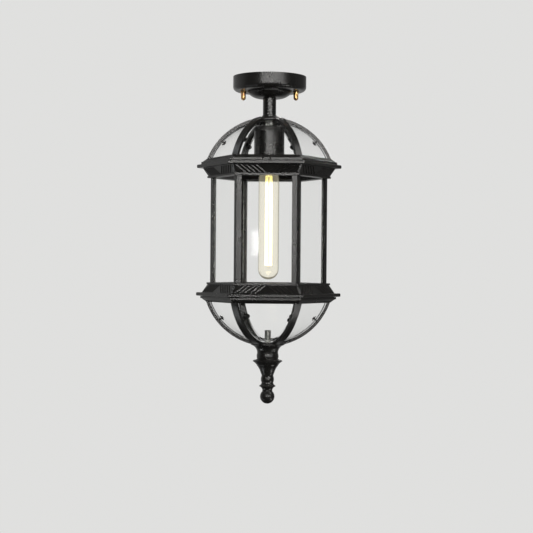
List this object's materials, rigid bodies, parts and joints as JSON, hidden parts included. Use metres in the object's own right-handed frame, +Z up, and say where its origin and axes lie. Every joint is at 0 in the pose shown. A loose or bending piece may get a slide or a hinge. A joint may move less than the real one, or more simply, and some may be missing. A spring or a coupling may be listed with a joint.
{
  "type": "porch ceiling lantern",
  "caption": "Hexagonal birdcage lantern hung close under a porch ceiling: round canopy, short stem, glazed dome and bowl, straight glazed sides and a turned finial.",
  "frame": {"origin": "centre of the crossbar's plain top face, which lies against the ceiling", "axes": "+Z up into the ceiling; the lantern hangs along -Z; a flat side of the hexagon faces -Y (front, with the catch) and the hinge is on the +Y side; two corners lie on the X axis"},
  "size_m": [0.2096, 0.1896, 0.4736],
  "materials": {
    "black_cast": "satin black powder coat on cast aluminium, slightly grained",
    "black_steel": "satin black powder coat on pressed or turned steel",
    "zinc_steel": "bright zinc plate",
    "earth_green": "green dyed zinc plate",
    "brass": "bright brass, lightly toned",
    "porcelain": "glazed white porcelain",
    "lead_insulation": "dull silicone insulation",
    "pane_glass": "clear, faint green edge",
    "bulb_glass": "clear blown glass",
    "bulb_metal": "rolled brass, nickel toned",
    "filament": "warm yellow phosphor rods"
  },
  "bodies": {
    "ceiling_mount": {"canopy_pan": "black_steel", "crossbar": "zinc_steel", "canopy_studs": "zinc_steel", "canopy_cap_nuts": "brass", "ground_screw": "earth_green", "stem_collar": "black_cast", "stem_tube": "black_steel", "threaded_pipe": "zinc_steel", "pipe_nuts": "zinc_steel", "lock_washers": "zinc_steel", "hub_nut": "zinc_steel", "dome_frame": "black_cast", "dome_pane_1": "pane_glass", "dome_pane_2": "pane_glass", "dome_pane_3": "pane_glass", "dome_pane_4": "pane_glass", "dome_pane_5": "pane_glass", "dome_pane_6": "pane_glass", "dome_clips": "black_steel", "socket_cap": "black_steel", "socket_cup": "black_steel", "socket_body": "porcelain", "socket_shell": "brass", "socket_contact": "brass", "lead_wires": "lead_insulation", "fixed_hinge_leaf": "black_steel", "hinge_pin": "zinc_steel"},
    "bulb": {"bulb_glass": "bulb_glass", "bulb_cap": "bulb_metal", "bulb_contact": "bulb_metal", "bulb_mount": "bulb_glass", "bulb_filament": "filament"},
    "cage": {"upper_ring": "black_cast", "lower_ring": "black_cast", "post_1": "black_cast", "post_2": "black_cast", "post_3": "black_cast", "post_4": "black_cast", "post_5": "black_cast", "post_6": "black_cast", "side_pane_1": "pane_glass", "side_pane_2": "pane_glass", "side_pane_3": "pane_glass", "side_pane_4": "pane_glass", "side_pane_5": "pane_glass", "side_pane_6": "pane_glass", "bowl_frame": "black_cast", "bowl_pane_1": "pane_glass", "bowl_pane_2": "pane_glass", "bowl_pane_3": "pane_glass", "bowl_pane_4": "pane_glass", "bowl_pane_5": "pane_glass", "bowl_pane_6": "pane_glass", "bowl_clips": "black_steel", "finial": "black_cast", "finial_stud": "zinc_steel", "finial_nut": "zinc_steel", "cage_hinge_leaf": "black_steel", "catch_tab": "black_cast"},
    "catch_screw": {"catch_screw": "zinc_steel"}
  },
  "joints": [
    {"name": "cage_swing", "type": "hinge", "parent": "ceiling_mount", "child": "cage", "pos_m": [0, 0.09576, -0.1276], "axis": [1, 0, 0], "range_deg": [0, 18]},
    {"name": "bulb_travel", "type": "slide", "parent": "ceiling_mount", "child": "bulb", "axis": [0, 0, -1], "range_m": [0, 0.025]},
    {"name": "catch_screw_turn", "type": "hinge", "parent": "cage", "child": "catch_screw", "pos_m": [0, -0.088, -0.1254], "axis": [0, -1, 0], "range_deg": [0, 720]}
  ]
}
